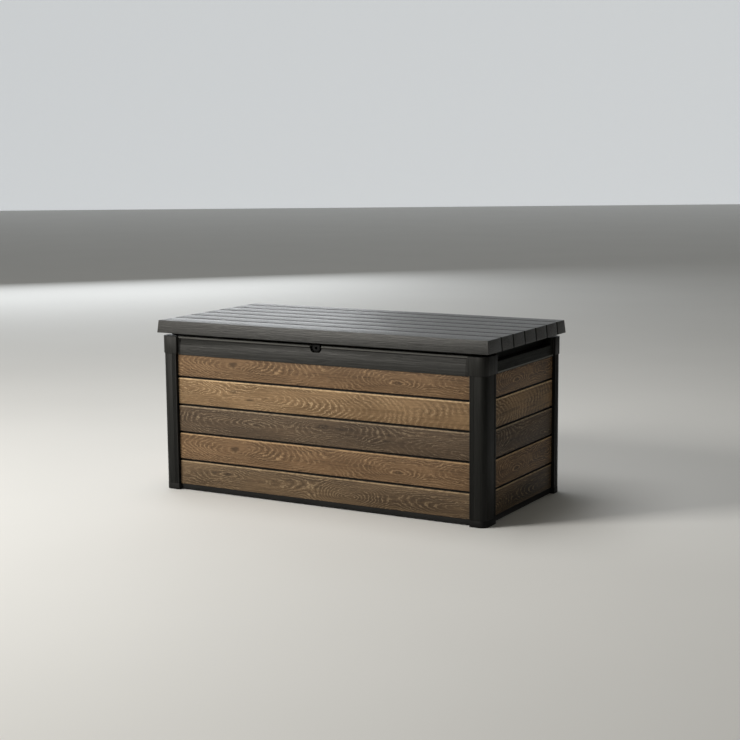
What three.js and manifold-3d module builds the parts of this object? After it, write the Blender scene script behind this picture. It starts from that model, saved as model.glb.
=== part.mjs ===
// Deck storage box: interlocking plank walls between four corner posts, a
// moulded base tray and a hinged double-walled lid held up by two gas struts.
//
// Millimetres, +Z up. The origin is at the bottom centre of the box, +X runs
// along its length to the viewer's right and the front faces -Y.

import * as THREE from 'three';
import { mergeVertices } from 'three/addons/utils/BufferGeometryUtils.js';
import Module from 'manifold-3d';

const wasm = await Module();
wasm.setup();

// ---------------------------------------------------------------- dimensions

const HEIGHT = 720;
const GAP = 0.3; // between pieces that rest on each other

// Lid, measured at the bottom edge of its skirt.
const LID_HALF_X = 768;
const LID_HALF_Y = 370;
const SKIRT_BOTTOM = 668;
const LID_DRAFT = 5;
const LID_WALL = 4;
const BOARD_PITCH = 107;
const FIRST_GROOVE_Y = -249;
const GROOVE_COUNT = 6;
const GROOVE_WIDTH = 8;
const GROOVE_DEPTH = 4;
const SKIRT_GROOVE_DEPTH = 2.5;
const SKIRT_LIP = 9;

// Corner posts, measured at their outer faces.
const POST_HALF_X = 751;
const POST_HALF_Y = 359;
const POST_RADIUS = 26;
const POST_ARM_X = 67.5; // width of the front or back face
const FRONT_ARM_Y = 92.5; // width of a front post's side face
const BACK_ARM_Y = 57; // width of a back post's side face
const POST_PROUD = 12; // how far the posts stand out from the planks
const POST_DEPTH = POST_PROUD + 21;
const POST_TOP = 648;
const SCREW_PORT = 15; // from both outer faces to the screw's axis
const CAP_WALL = 3;
const CAP_BOTTOM = 583;
const CAP_LAP = 7; // how far a cap reaches past the end of a post's arm

// Walls. Each wall has a frame of its own: x along the wall, y into the box
// from the planks' outer face, z up.
const FACE_HALF_X = POST_HALF_X - POST_PROUD; // outer face of the side planks
const FACE_HALF_Y = POST_HALF_Y - POST_PROUD; // outer face of the front and back planks
const END_GAP = 3.5; // dark gap between a plank's end and the post's arm
const LONG_END = POST_HALF_X - POST_ARM_X - END_GAP; // half length of a front plank's face
const SHORT_END = POST_HALF_Y - (FRONT_ARM_Y + BACK_ARM_Y) / 2 - END_GAP; // same, of a side plank
const SHORT_MIDDLE_Y = (FRONT_ARM_Y - BACK_ARM_Y) / 2; // middle of the side planks
const TENON_LENGTH = 12; // past both ends of a plank's face
const PLANK_THICKNESS = 18;
const PLANK_PITCH = 117.8;
const PLANKS_PER_WALL = 5;
const FIRST_PLANK_Z = 12.2; // where the lowest plank's pitch starts
const PLANK_TOP = 600.3;
const TENON_FROM = 10; // depth of the end tenons
const TENON_TO = 16.5;

// Rails on top of the walls.
const RAIL_BOTTOM = 578;
const RAIL_TOP = 655;
const RAIL_UNDER = 602; // lowest face above the top plank
const RAIL_STEP = 608; // where the apron over the top plank meets the rail's body
const RAIL_BACK = 30;
const RAIL_PROUD = 4;
const RAIL_SIDE_GAP = 5; // a rail is this much shorter than its planks' faces
const SCOOP_BORDER = 9;
const LOCK_HOLE_Z = 644;
const LOCK_HOLE_RADIUS = 5.5;
const POCKET_HALF = 27;
const POCKET_BOTTOM = 627;
const HANDLE_HALF = SHORT_END - 27; // half length of the hand recess
const HANDLE_SHELF = 625;
const HANDLE_DEPTH = 34;

// Base tray.
const LEDGE_Z = 26;
const FLOOR_Z = 22;
const FLOOR_UNDER = 18;
const PLINTH_LIFT = 3;
const PLINTH_HALF_X = FACE_HALF_X - 3;
const PLINTH_HALF_Y = FACE_HALF_Y - 3;
const FLOOR_MARGIN = 42; // from the planks' outer faces to the sunk floor
const FOOT_PROUD = 0.5;

// Lid mechanism.
const HINGE_Y = 362;
const HINGE_Z = 653;
const HINGE_XS = { left: -520, centre: 0, right: 520 };
const HINGE_WIDTH = 72;
const KNUCKLE_RADIUS = 7;
const PIN_RADIUS = 2.5;
const LINER_HALF_X = 720;
const LINER_HALF_Y = 330;
const LINER_BOTTOM = RAIL_TOP + 3.5;
const PLATE_BOTTOM = RAIL_TOP + 0.4; // metal plates between the rails and the liner
const PLATE_TOP = RAIL_TOP + 3.2;

// Gas struts, in the plane x = +-STRUT_X.
const STRUT_X = 688;
const STRUT_FOOT = { y: HINGE_Y - 108, z: HINGE_Z - 230 };
const STRUT_HEAD = { y: HINGE_Y - 130, z: HINGE_Z - 10 };
const STRUT_TUBE_RADIUS = 9;
const STRUT_ROD_RADIUS = 4;
const STRUT_TUBE_END = 190; // along the strut from its lower pivot
const EYE_RADIUS = 8;
const EYE_WIDTH = 10;
const STUD_RADIUS = 4;

const ROUND = 16; // facets of a small turned part
const ARC_STEPS = 6; // facets of a quarter or half circle in an outline

// ------------------------------------------------------------------- helpers

function toSolid(geometry) {
  const bare = geometry.clone();
  bare.deleteAttribute('normal');
  bare.deleteAttribute('uv');
  const merged = mergeVertices(bare, 1e-4);
  return new wasm.Manifold(new wasm.Mesh({
    numProp: 3,
    vertProperties: new Float32Array(merged.attributes.position.array),
    triVerts: new Uint32Array(merged.index.array),
  }));
}

function toGeometry(solid) {
  const mesh = solid.getMesh();
  const geometry = new THREE.BufferGeometry();
  geometry.setAttribute('position', new THREE.BufferAttribute(mesh.vertProperties, 3));
  geometry.setIndex(new THREE.BufferAttribute(mesh.triVerts, 1));
  geometry.computeVertexNormals();
  return geometry;
}

function join(first, ...others) {
  return others.reduce((sum, other) => sum.add(other), first);
}

function cut(first, ...others) {
  return others.reduce((rest, other) => rest.subtract(other), first);
}

// A box between two corners, given in either order along each axis.
function block([x0, x1], [y0, y1], [z0, z1]) {
  const geometry = new THREE.BoxGeometry(Math.abs(x1 - x0), Math.abs(y1 - y0), Math.abs(z1 - z0));
  geometry.translate((x0 + x1) / 2, (y0 + y1) / 2, (z0 + z1) / 2);
  return toSolid(geometry);
}

// A block centred on x = 0 and y = 0 that narrows evenly from z0 to z1.
function taperedBlock(halfX, halfY, z0, z1, draft) {
  const geometry = new THREE.BoxGeometry(2, 2, z1 - z0);
  geometry.translate(0, 0, (z0 + z1) / 2);
  const position = geometry.attributes.position;
  for (let i = 0; i < position.count; i += 1) {
    const inset = position.getZ(i) > (z0 + z1) / 2 ? draft : 0;
    position.setX(i, position.getX(i) * (halfX - inset));
    position.setY(i, position.getY(i) * (halfY - inset));
  }
  return toSolid(geometry);
}

function shapeOf(points) {
  return new THREE.Shape(points.map(([a, b]) => new THREE.Vector2(a, b)));
}

const prismOptions = (depth) => ({ depth, bevelEnabled: false, curveSegments: ARC_STEPS });

// Prisms: the outline is (x, y), (y, z) or (x, z) for an extrusion along z, x or y.
function prismZ(outline, z0, z1) {
  const geometry = new THREE.ExtrudeGeometry(outline, prismOptions(z1 - z0));
  geometry.translate(0, 0, z0);
  return toSolid(geometry);
}

function prismX(outline, x0, x1) {
  const geometry = new THREE.ExtrudeGeometry(outline, prismOptions(x1 - x0));
  geometry.rotateX(Math.PI / 2).rotateZ(Math.PI / 2).translate(x0, 0, 0);
  return toSolid(geometry);
}

function prismY(outline, y0, y1) {
  const geometry = new THREE.ExtrudeGeometry(outline, prismOptions(y1 - y0));
  geometry.rotateX(Math.PI / 2).translate(0, y1, 0);
  return toSolid(geometry);
}

// A cylinder along one axis between a and b, in either order, centred on the
// other two coordinates.
function pinX(radius, a, b, y, z) {
  const geometry = new THREE.CylinderGeometry(radius, radius, Math.abs(b - a), ROUND);
  geometry.rotateZ(-Math.PI / 2).translate((a + b) / 2, y, z);
  return toSolid(geometry);
}

function pinY(radius, a, b, x, z) {
  const geometry = new THREE.CylinderGeometry(radius, radius, b - a, ROUND);
  geometry.translate(x, (a + b) / 2, z);
  return toSolid(geometry);
}

function pinZ(radius, a, b, x, y) {
  const geometry = new THREE.CylinderGeometry(radius, radius, b - a, ROUND);
  geometry.rotateX(Math.PI / 2).translate(x, y, (a + b) / 2);
  return toSolid(geometry);
}

// ----------------------------------------------------------------- materials

const finish = (color, roughness, metalness = 0) => ({ color, roughness, metalness });

const FINISHES = {
  lid: finish(0x4b4c4b, 0.55),
  trim: finish(0x3a3b3a, 0.6),
  post: finish(0x2b2c2b, 0.6),
  base: finish(0x1d1e1e, 0.7),
  liner: finish(0x262727, 0.7),
  steel: finish(0x9fa3a6, 0.35, 0.9),
  blackSteel: finish(0x1b1c1d, 0.4, 0.6),
};
const PLANK_COLOURS = [0x5d4735, 0x80623f, 0x4f4338, 0x927550, 0x7c6046];

function material({ color, roughness, metalness }) {
  return new THREE.MeshStandardMaterial({ color, roughness, metalness });
}

function piece(name, geometry, look) {
  const mesh = new THREE.Mesh(geometry, material(look));
  mesh.name = name;
  return mesh;
}

const box = new THREE.Group();

// ------------------------------------------------------ corner posts and caps

const CORNERS = [
  { name: 'front_left', sx: -1, sy: -1, armY: FRONT_ARM_Y },
  { name: 'front_right', sx: 1, sy: -1, armY: FRONT_ARM_Y },
  { name: 'back_left', sx: -1, sy: 1, armY: BACK_ARM_Y },
  { name: 'back_right', sx: 1, sy: 1, armY: BACK_ARM_Y },
];

// Corner coordinates: p inward from the side face, q inward from the front or
// back face. This turns them into x and y for one corner.
const atCorner = (corner) => ([p, q]) => [
  corner.sx * (POST_HALF_X - p),
  corner.sy * (POST_HALF_Y - q),
];

// The rounded outer corner, as points from the front face to the side face.
function cornerArc(radius, offset) {
  const points = [];
  for (let i = 0; i <= ARC_STEPS; i += 1) {
    const angle = (i / ARC_STEPS) * (Math.PI / 2);
    points.push([
      radius - offset - radius * Math.sin(angle),
      radius - offset - radius * Math.cos(angle),
    ]);
  }
  return points;
}

const SLOT_FROM = POST_PROUD + TENON_FROM - 0.5;
const SLOT_TO = POST_PROUD + TENON_TO + 0.5;
const SLOT_DEPTH = 10.5;

function postOutline(corner) {
  const points = [
    [POST_ARM_X, 0],
    ...cornerArc(POST_RADIUS, 0),
    [0, corner.armY],
    [SLOT_FROM, corner.armY],
    [SLOT_FROM, corner.armY - SLOT_DEPTH],
    [SLOT_TO, corner.armY - SLOT_DEPTH],
    [SLOT_TO, corner.armY],
    [POST_DEPTH, corner.armY],
    [POST_DEPTH, POST_DEPTH],
    [POST_ARM_X, POST_DEPTH],
    [POST_ARM_X, SLOT_TO],
    [POST_ARM_X - SLOT_DEPTH, SLOT_TO],
    [POST_ARM_X - SLOT_DEPTH, SLOT_FROM],
    [POST_ARM_X, SLOT_FROM],
  ];
  return shapeOf(points.map(atCorner(corner)));
}

// Fine vertical flutes near the edges of the post's faces.
const FLUTE_WIDTH = 2.5;
const FLUTE_DEPTH = 1.2;
const FLUTES = [5, 10.5, 16];

function flute(corner, from, alongX) {
  const [a, b] = alongX
    ? [[from, -1], [from + FLUTE_WIDTH, FLUTE_DEPTH]]
    : [[-1, from], [FLUTE_DEPTH, from + FLUTE_WIDTH]];
  const [x0, y0] = atCorner(corner)(a);
  const [x1, y1] = atCorner(corner)(b);
  return block([x0, x1], [y0, y1], [LEDGE_Z - 1, POST_TOP + 1]);
}

const POST_WALL = 3.5;

function hollow(corner, [p0, p1], [q0, q1]) {
  const [x0, y0] = atCorner(corner)([p0, q0]);
  const [x1, y1] = atCorner(corner)([p1, q1]);
  return block([x0, x1], [y0, y1], [LEDGE_Z - 1, POST_TOP + 1]);
}

function postSolid(corner) {
  const [portX, portY] = atCorner(corner)([SCREW_PORT, SCREW_PORT]);
  const hollowFrom = POST_RADIUS + 3;
  const across = [POST_WALL, POST_DEPTH - POST_WALL];
  const cuts = [
    hollow(corner, [hollowFrom, POST_ARM_X - SLOT_DEPTH - POST_WALL], across),
    hollow(corner, across, [hollowFrom, corner.armY - SLOT_DEPTH - POST_WALL]),
    pinZ(PIN_RADIUS + GAP, LEDGE_Z - 1, POST_TOP + 1, portX, portY),
  ];
  for (const inset of FLUTES) {
    cuts.push(flute(corner, POST_ARM_X - inset - FLUTE_WIDTH, true));
    cuts.push(flute(corner, corner.armY - inset - FLUTE_WIDTH, false));
  }
  return cut(prismZ(postOutline(corner), LEDGE_Z + GAP, POST_TOP), ...cuts);
}

// The cap is a sleeve round the post's outer faces, closed on top. Its returns
// wrap the ends of the post's arms; behind them it is open for the rails' tabs.
const CAP_OUT = CAP_WALL + GAP;
const CAP_RETURN = POST_PROUD - GAP;
const CAP_SEAT = RAIL_TOP - 3.5;
const SCREW_HEAD_RADIUS = 5;

function capOutline(corner) {
  return shapeOf([
    [POST_ARM_X + CAP_LAP, -CAP_OUT],
    ...cornerArc(POST_RADIUS + CAP_OUT, CAP_OUT),
    [-CAP_OUT, corner.armY + CAP_LAP],
    [POST_DEPTH, corner.armY + CAP_LAP],
    [POST_DEPTH, POST_DEPTH],
    [POST_ARM_X + CAP_LAP, POST_DEPTH],
  ].map(atCorner(corner)));
}

function capHollowOutline(corner) {
  const farX = POST_ARM_X + CAP_LAP + 5;
  const farY = corner.armY + CAP_LAP + 5;
  const behind = POST_DEPTH + 5;
  return shapeOf([
    [POST_ARM_X + GAP, -GAP],
    ...cornerArc(POST_RADIUS + GAP, GAP),
    [-GAP, corner.armY + GAP],
    [CAP_RETURN, corner.armY + GAP],
    [CAP_RETURN, farY],
    [behind, farY],
    [behind, behind],
    [farX, behind],
    [farX, CAP_RETURN],
    [POST_ARM_X + GAP, CAP_RETURN],
  ].map(atCorner(corner)));
}

function capSolid(corner) {
  const [portX, portY] = atCorner(corner)([SCREW_PORT, SCREW_PORT]);
  return cut(
    prismZ(capOutline(corner), CAP_BOTTOM, RAIL_TOP),
    prismZ(capHollowOutline(corner), CAP_BOTTOM - 1, POST_TOP + GAP),
    pinZ(PIN_RADIUS + GAP, POST_TOP - 1, RAIL_TOP + 1, portX, portY),
    pinZ(SCREW_HEAD_RADIUS + 0.5, CAP_SEAT, RAIL_TOP + 1, portX, portY),
  );
}

const SCREW_LENGTH = 26;

function capScrewGeometry() {
  const head = 2.8;
  const profile = [
    [0, -SCREW_LENGTH],
    [PIN_RADIUS, -SCREW_LENGTH + 3],
    [PIN_RADIUS, 0],
    [SCREW_HEAD_RADIUS, 0],
    [SCREW_HEAD_RADIUS, head - 1],
    [SCREW_HEAD_RADIUS - 1, head],
    [0, head],
  ].map(([r, h]) => new THREE.Vector2(r, h));
  const geometry = new THREE.LatheGeometry(profile, ROUND);
  geometry.rotateX(Math.PI / 2);
  const slot = block([-0.6, 0.6], [-3.5, 3.5], [head - 1, head + 1]);
  return toGeometry(cut(toSolid(geometry), slot));
}

for (const corner of CORNERS) {
  const [portX, portY] = atCorner(corner)([SCREW_PORT, SCREW_PORT]);
  const screw = piece(`cap_screw_${corner.name}`, capScrewGeometry(), FINISHES.blackSteel);
  screw.position.set(portX, portY, CAP_SEAT + GAP);
  box.add(
    piece(`post_${corner.name}`, toGeometry(postSolid(corner)), FINISHES.post),
    piece(`cap_${corner.name}`, toGeometry(capSolid(corner)), FINISHES.trim),
    screw,
  );
}

// --------------------------------------------------------------------- walls

const WALLS = {
  front: { end: LONG_END, angle: 0, at: [0, -FACE_HALF_Y] },
  back: { end: LONG_END, angle: Math.PI, at: [0, FACE_HALF_Y] },
  left: { end: SHORT_END, angle: -Math.PI / 2, at: [-FACE_HALF_X, SHORT_MIDDLE_Y] },
  right: { end: SHORT_END, angle: Math.PI / 2, at: [FACE_HALF_X, SHORT_MIDDLE_Y] },
};

const wallGroups = {};
for (const [name, wall] of Object.entries(WALLS)) {
  const group = new THREE.Group();
  group.position.set(wall.at[0], wall.at[1], 0);
  group.rotation.z = wall.angle;
  wallGroups[name] = group;
  box.add(group);
}

// A plank's section, depth and height, from the start of its own pitch. Its
// tongue fits the next plank's groove and its bevels make a dark joint.
const JOINT_HALF = 3.5;
const BEVEL = 2.5;
const TONGUE_RISE = 6;

function plankOutline(row) {
  const lowest = row === 0;
  const highest = row === PLANKS_PER_WALL - 1;
  const foot = LEDGE_Z + GAP - FIRST_PLANK_Z;
  const head = PLANK_TOP - FIRST_PLANK_Z - row * PLANK_PITCH;
  const bottom = lowest
    ? [[0, foot]]
    : [
      [TENON_FROM - 0.5, TONGUE_RISE + 3],
      [TENON_FROM - 0.5, JOINT_HALF],
      [BEVEL, JOINT_HALF],
      [0, JOINT_HALF + BEVEL],
    ];
  const top = highest
    ? [[0, head], [PLANK_THICKNESS, head]]
    : [
      [0, PLANK_PITCH - JOINT_HALF - BEVEL],
      [BEVEL, PLANK_PITCH - JOINT_HALF],
      [TENON_FROM, PLANK_PITCH - JOINT_HALF],
      [TENON_FROM, PLANK_PITCH + TONGUE_RISE],
      [14.5, PLANK_PITCH + TONGUE_RISE],
      [14.5, PLANK_PITCH - GAP],
      [PLANK_THICKNESS, PLANK_PITCH - GAP],
    ];
  const back = lowest
    ? [[PLANK_THICKNESS, foot]]
    : [[PLANK_THICKNESS, 0], [15, 0], [15, TONGUE_RISE + 3]];
  const outline = shapeOf([...bottom, ...top, ...back]);
  // Open cells along the plank keep its walls thin.
  const cells = 3;
  const low = (lowest ? foot : TONGUE_RISE + 3) + 4;
  const high = PLANK_PITCH - JOINT_HALF - 4;
  const step = (high - low) / cells;
  for (let i = 0; i < cells; i += 1) {
    const a = low + i * step;
    const b = a + step - (i < cells - 1 ? 3 : 0);
    outline.holes.push(shapeOf([[4, a], [14, a], [14, b], [4, b]]));
  }
  return outline;
}

function plankGeometry(wall, row) {
  const body = prismX(plankOutline(row), -wall.end, wall.end);
  const low = row === 0 ? LEDGE_Z + GAP - FIRST_PLANK_Z + 0.2 : TONGUE_RISE + 3.3;
  const high = PLANK_PITCH - JOINT_HALF - 0.3;
  const reach = wall.end + TENON_LENGTH;
  const tenon = block([-reach, reach], [14, TENON_TO], [low, high]);
  return toGeometry(join(body, tenon));
}

for (const [name, wall] of Object.entries(WALLS)) {
  for (let row = 0; row < PLANKS_PER_WALL; row += 1) {
    const plank = piece(
      `plank_${name}_${row + 1}`,
      plankGeometry(wall, row),
      finish(PLANK_COLOURS[row], 0.6),
    );
    plank.position.z = FIRST_PLANK_Z + row * PLANK_PITCH;
    wallGroups[name].add(plank);
  }
}

// --------------------------------------------------------------------- rails

// Long rails are channels that hook over the top plank. The front one has a
// scooped finger edge; at its ends and along its top a border stays proud.
const SCOOP_LOW = 612;
const SCOOP_HIGH = 646;
const SCOOP_DEPTH = 5;

function railOutline() {
  return shapeOf([
    [-RAIL_PROUD, RAIL_BOTTOM],
    [-RAIL_PROUD, RAIL_TOP - 3],
    [-RAIL_PROUD + 3, RAIL_TOP],
    [RAIL_BACK, RAIL_TOP],
    [RAIL_BACK, RAIL_UNDER],
    [RAIL_BACK - 3.5, RAIL_UNDER],
    [RAIL_BACK - 3.5, RAIL_TOP - 5],
    [4.5, RAIL_TOP - 5],
    [4.5, RAIL_STEP],
    [-0.4, RAIL_STEP],
    [-0.4, RAIL_BOTTOM],
  ]);
}

function longRailSolid(scooped) {
  const end = LONG_END - RAIL_SIDE_GAP;
  const border = end - SCOOP_BORDER;
  const inside = [4, RAIL_BACK - 3];
  const webs = [RAIL_UNDER + 0.6, RAIL_TOP - 4];
  let rail = prismX(railOutline(), -end, end);
  if (scooped) {
    const slope = SCOOP_DEPTH / (SCOOP_HIGH - 3 - SCOOP_LOW);
    const scoop = shapeOf([
      [-RAIL_PROUD - 1, SCOOP_LOW - 1 / slope],
      [SCOOP_DEPTH - RAIL_PROUD, SCOOP_HIGH - 3],
      [SCOOP_DEPTH - RAIL_PROUD, SCOOP_HIGH],
      [-RAIL_PROUD - 1, SCOOP_HIGH],
    ]);
    rail = cut(rail, prismX(scoop, -border, border));
  }
  // The ends are closed, and cross ribs inside stiffen the channel.
  for (const side of [-1, 1]) {
    const tab = [side * (end - 3), side * (LONG_END + TENON_LENGTH)];
    rail = join(
      rail,
      block([side * border, side * end], inside, webs),
      block(tab, [TENON_FROM, TENON_TO], [RAIL_UNDER + 1, POST_TOP]),
    );
  }
  const bays = 7;
  for (let i = 1; i < bays; i += 1) {
    const x = -end + (2 * end * i) / bays;
    rail = join(rail, block([x - 1.5, x + 1.5], inside, webs));
  }
  return rail;
}

// A U-shaped outline in x and z, open upward, with rounded lower corners.
function pocketOutline(half, bottom, top, radius) {
  const shape = new THREE.Shape();
  shape.moveTo(-half, top);
  shape.lineTo(-half, bottom + radius);
  shape.absarc(-half + radius, bottom + radius, radius, Math.PI, Math.PI * 1.5, false);
  shape.lineTo(half - radius, bottom);
  shape.absarc(half - radius, bottom + radius, radius, -Math.PI / 2, 0, false);
  shape.lineTo(half, top);
  return shape;
}

const POCKET_DEPTH = 18;

function frontRailSolid() {
  const rail = join(
    longRailSolid(true),
    block([-POCKET_HALF - 9, POCKET_HALF + 9], [1, POCKET_DEPTH + 5], [POCKET_BOTTOM - 9, RAIL_TOP - 4]),
  );
  return cut(rail, prismY(pocketOutline(POCKET_HALF, POCKET_BOTTOM, RAIL_TOP + 9, 18), -9, POCKET_DEPTH));
}

// A side rail carries the hand recess: an apron and shelf in front, an inner
// wall with a lip on top, and full blocks at both ends. A sloped lip runs along
// the apron's bottom edge.
const LIP_PROUD = 3;
const LIP_SLOPE = 5;

function sideRailSolid() {
  const end = SHORT_END - RAIL_SIDE_GAP;
  const wallFrom = HANDLE_DEPTH;
  const wallTo = HANDLE_DEPTH + 5;
  const channel = shapeOf([
    [-RAIL_PROUD - LIP_PROUD, RAIL_BOTTOM],
    [-RAIL_PROUD - LIP_PROUD, RAIL_BOTTOM + 2],
    [-RAIL_PROUD, RAIL_BOTTOM + 2 + LIP_SLOPE],
    [-RAIL_PROUD, HANDLE_SHELF],
    [wallFrom, HANDLE_SHELF],
    [wallFrom, RAIL_TOP - 6],
    [21, RAIL_TOP - 6],
    [21, RAIL_TOP],
    [wallTo, RAIL_TOP],
    [wallTo, HANDLE_SHELF - 6],
    [22.3, HANDLE_SHELF - 6],
    [22.3, RAIL_UNDER - 10],
    [18.3, RAIL_UNDER - 10],
    [18.3, HANDLE_SHELF - 6],
    [-0.4, HANDLE_SHELF - 6],
    [-0.4, RAIL_BOTTOM],
  ]);
  let rail = prismX(channel, -end, end);
  for (const side of [-1, 1]) {
    const ends = [side * HANDLE_HALF, side * end];
    const tab = [side * HANDLE_HALF, side * (SHORT_END + TENON_LENGTH)];
    rail = join(
      rail,
      block(ends, [-RAIL_PROUD, wallTo], [HANDLE_SHELF - 2, RAIL_TOP]),
      block(ends, [3, wallTo], [RAIL_UNDER, HANDLE_SHELF - 1]),
      block(tab, [TENON_FROM, TENON_TO], [RAIL_UNDER, POST_TOP]),
    );
  }
  return rail;
}

wallGroups.front.add(piece('front_rail', toGeometry(frontRailSolid()), FINISHES.trim));
wallGroups.back.add(piece('back_rail', toGeometry(longRailSolid(false)), FINISHES.trim));
wallGroups.left.add(piece('left_rail', toGeometry(sideRailSolid()), FINISHES.trim));
wallGroups.right.add(piece('right_rail', toGeometry(sideRailSolid()), FINISHES.trim));

// ----------------------------------------------------------------- base tray

function footSolid(corner) {
  const offset = FOOT_PROUD;
  const outline = shapeOf([
    [POST_ARM_X + offset, -offset],
    ...cornerArc(POST_RADIUS + offset, offset),
    [-offset, corner.armY + offset],
    [POST_ARM_X + offset, corner.armY + offset],
  ].map(atCorner(corner)));
  return prismZ(outline, 0, LEDGE_Z);
}

function trayGeometry() {
  const plinth = block(
    [-PLINTH_HALF_X, PLINTH_HALF_X],
    [-PLINTH_HALF_Y, PLINTH_HALF_Y],
    [PLINTH_LIFT, LEDGE_Z],
  );
  // Low upstands locate the planks from inside.
  const lipHeight = 15;
  const alongY = [SHORT_MIDDLE_Y - SHORT_END, SHORT_MIDDLE_Y + SHORT_END];
  const lips = [];
  for (const side of [-1, 1]) {
    const y = side * (FACE_HALF_Y - PLANK_THICKNESS - 0.5);
    const x = side * (FACE_HALF_X - PLANK_THICKNESS - 0.5);
    lips.push(
      block([-LONG_END, LONG_END], [y, y - side * 3.5], [LEDGE_Z - 1, LEDGE_Z + lipHeight]),
      block([x, x - side * 3.5], alongY, [LEDGE_Z - 1, LEDGE_Z + lipHeight]),
    );
  }
  // Pockets under the floor leave a rim and a grid of ribs.
  const columns = 8;
  const rows = 4;
  const rib = 4;
  const width = (2 * PLINTH_HALF_X - rib) / columns;
  const depth = (2 * PLINTH_HALF_Y - rib) / rows;
  const floorX = FACE_HALF_X - FLOOR_MARGIN;
  const floorY = FACE_HALF_Y - FLOOR_MARGIN;
  const pockets = [block([-floorX, floorX], [-floorY, floorY], [FLOOR_Z, LEDGE_Z + 1])];
  for (let i = 0; i < columns; i += 1) {
    for (let j = 0; j < rows; j += 1) {
      const x = -PLINTH_HALF_X + rib + i * width;
      const y = -PLINTH_HALF_Y + rib + j * depth;
      pockets.push(block([x, x + width - rib], [y, y + depth - rib], [0, FLOOR_UNDER]));
    }
  }
  return toGeometry(join(cut(plinth, ...pockets), ...CORNERS.map(footSolid), ...lips));
}

box.add(piece('base_tray', trayGeometry(), FINISHES.base));

// ----------------------------------------------------------------------- lid

const lid = new THREE.Group();
box.add(lid);

const GROOVE_YS = Array.from({ length: GROOVE_COUNT }, (_, k) => FIRST_GROOVE_Y + k * BOARD_PITCH);

// The cutter of one groove over the top and down both side skirts. Grooves
// between the first and the last stop above the skirt's lower lip.
function grooveCutter(y, index) {
  const through = index === 0 || index === GROOVE_COUNT - 1;
  const bottom = through ? SKIRT_BOTTOM - 1 : SKIRT_BOTTOM + SKIRT_LIP;
  const halfAt = (z) => {
    const rise = (z - SKIRT_BOTTOM) / (HEIGHT - SKIRT_BOTTOM);
    return LID_HALF_X - LID_DRAFT * rise - SKIRT_GROOVE_DEPTH;
  };
  const floor = HEIGHT - GROOVE_DEPTH;
  const outside = LID_HALF_X + 20;
  const outline = shapeOf([
    [-outside, bottom],
    [-halfAt(bottom), bottom],
    [-halfAt(floor), floor],
    [halfAt(floor), floor],
    [halfAt(bottom), bottom],
    [outside, bottom],
    [outside, HEIGHT + 20],
    [-outside, HEIGHT + 20],
  ]);
  return prismY(outline, y - GROOVE_WIDTH / 2, y + GROOVE_WIDTH / 2);
}

function lidShellSolid() {
  const shell = cut(
    taperedBlock(LID_HALF_X, LID_HALF_Y, SKIRT_BOTTOM, HEIGHT, LID_DRAFT),
    taperedBlock(
      LID_HALF_X - LID_WALL,
      LID_HALF_Y - LID_WALL,
      SKIRT_BOTTOM - 1,
      HEIGHT - LID_WALL,
      LID_DRAFT,
    ),
  );
  // The skin is thicker under each groove.
  const ribHalf = GROOVE_WIDTH;
  const ribs = GROOVE_YS.map((y) => block(
    [-LID_HALF_X + LID_DRAFT + 2, LID_HALF_X - LID_DRAFT - 2],
    [y - ribHalf, y + ribHalf],
    [HEIGHT - LID_WALL - 5, HEIGHT - LID_WALL + 1],
  ));
  return cut(join(shell, ...ribs), ...GROOVE_YS.map(grooveCutter));
}

// The liner is a pan whose flange meets the skirt's inside.
function lidLinerSolid() {
  const wall = 3.5;
  const flangeBottom = SKIRT_BOTTOM + 4;
  const flangeX = LID_HALF_X - LID_WALL - 1.2;
  const flangeY = LID_HALF_Y - LID_WALL - 1.2;
  const pan = block(
    [-LINER_HALF_X, LINER_HALF_X],
    [-LINER_HALF_Y, LINER_HALF_Y],
    [LINER_BOTTOM, flangeBottom + 2],
  );
  const flange = block([-flangeX, flangeX], [-flangeY, flangeY], [flangeBottom, flangeBottom + 3]);
  const inside = block(
    [-LINER_HALF_X + wall, LINER_HALF_X - wall],
    [-LINER_HALF_Y + wall, LINER_HALF_Y - wall],
    [LINER_BOTTOM + wall, flangeBottom + 5],
  );
  return cut(join(pan, flange), inside);
}

// Two rectangular steel tubes stiffen the lid lengthwise.
function stiffenerGeometry() {
  const [width, height, wall] = [15, 30, 1.5];
  const rectangle = (inset) => [
    [inset - width / 2, inset],
    [width / 2 - inset, inset],
    [width / 2 - inset, height - inset],
    [inset - width / 2, height - inset],
  ];
  const outline = shapeOf(rectangle(0));
  outline.holes.push(shapeOf(rectangle(wall)));
  return toGeometry(prismX(outline, -700, 700));
}

lid.add(
  piece('lid_shell', toGeometry(lidShellSolid()), FINISHES.lid),
  piece('lid_liner', toGeometry(lidLinerSolid()), FINISHES.liner),
);
for (const [name, side] of [['front', -1], ['back', 1]]) {
  const tube = piece(`lid_stiffener_${name}`, stiffenerGeometry(), FINISHES.steel);
  tube.position.set(0, side * 120, LINER_BOTTOM + 3.5 + GAP);
  lid.add(tube);
}

// -------------------------------------------------------------------- hinges

// Each hinge is made about its own pin: x along the pin, y to the back.
const LEAF_THICKNESS = 3.5;
const KNUCKLE_HALF = 11.5; // half length of the lid leaf's knuckle

function knuckle(from, to) {
  return pinX(KNUCKLE_RADIUS, from, to, 0, 0);
}

const pinBore = () => pinX(PIN_RADIUS + GAP, -HINGE_WIDTH, HINGE_WIDTH, 0, 0);

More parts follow.
